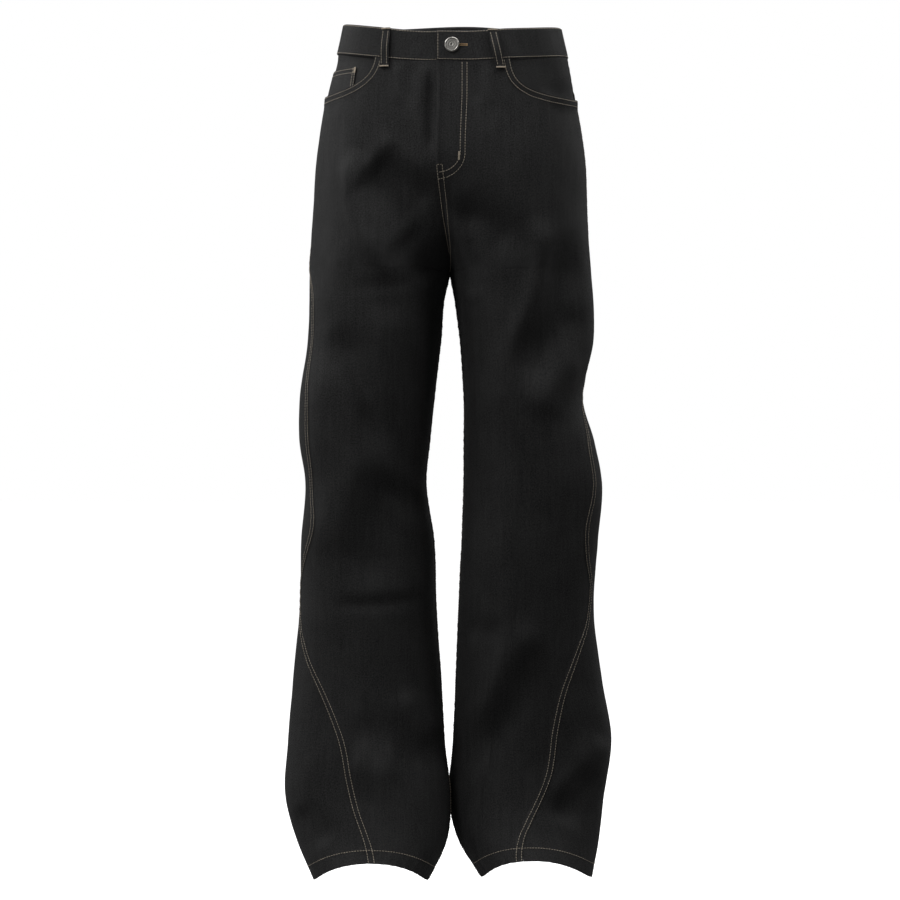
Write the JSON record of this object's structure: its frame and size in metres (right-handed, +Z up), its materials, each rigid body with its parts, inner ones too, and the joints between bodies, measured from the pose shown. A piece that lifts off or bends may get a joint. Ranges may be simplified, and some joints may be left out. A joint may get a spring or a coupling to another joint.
{
  "type": "flare jeans",
  "caption": "Full-length flare jeans held open as worn, with a fastened waistband button, curved front pockets, a coin pocket, patch back pockets and hollow legs open at waist and hems.",
  "frame": {"origin": "middle of the waist opening, half way up the waistband at the sides, where the wearer holds the jeans up", "axes": "+Z up along the body, -Y towards the front, +X towards the wearer's left"},
  "size_m": [0.4089, 0.2745, 1.0777],
  "materials": {
    "denim": "black raw twill denim, matt with a slight sheen on the folds",
    "thread": "tan topstitching thread",
    "button_metal": "aged nickel"
  },
  "bodies": {
    "root": {"front_right": "denim", "front_left": "denim", "back_right": "denim", "back_left": "denim", "yoke_right": "denim", "yoke_left": "denim", "waistband_right": "denim", "waistband_left": "denim", "pocket_facing_right": "denim", "pocket_facing_left": "denim", "coin_pocket": "denim", "back_pocket_right": "denim", "back_pocket_left": "denim", "belt_loop_front_right": "denim", "belt_loop_front_left": "denim", "belt_loop_back_right": "denim", "belt_loop_back_left": "denim", "belt_loop_centre_back": "denim", "fly_shield": "denim", "button": "button_metal"}
  },
  "joints": []
}
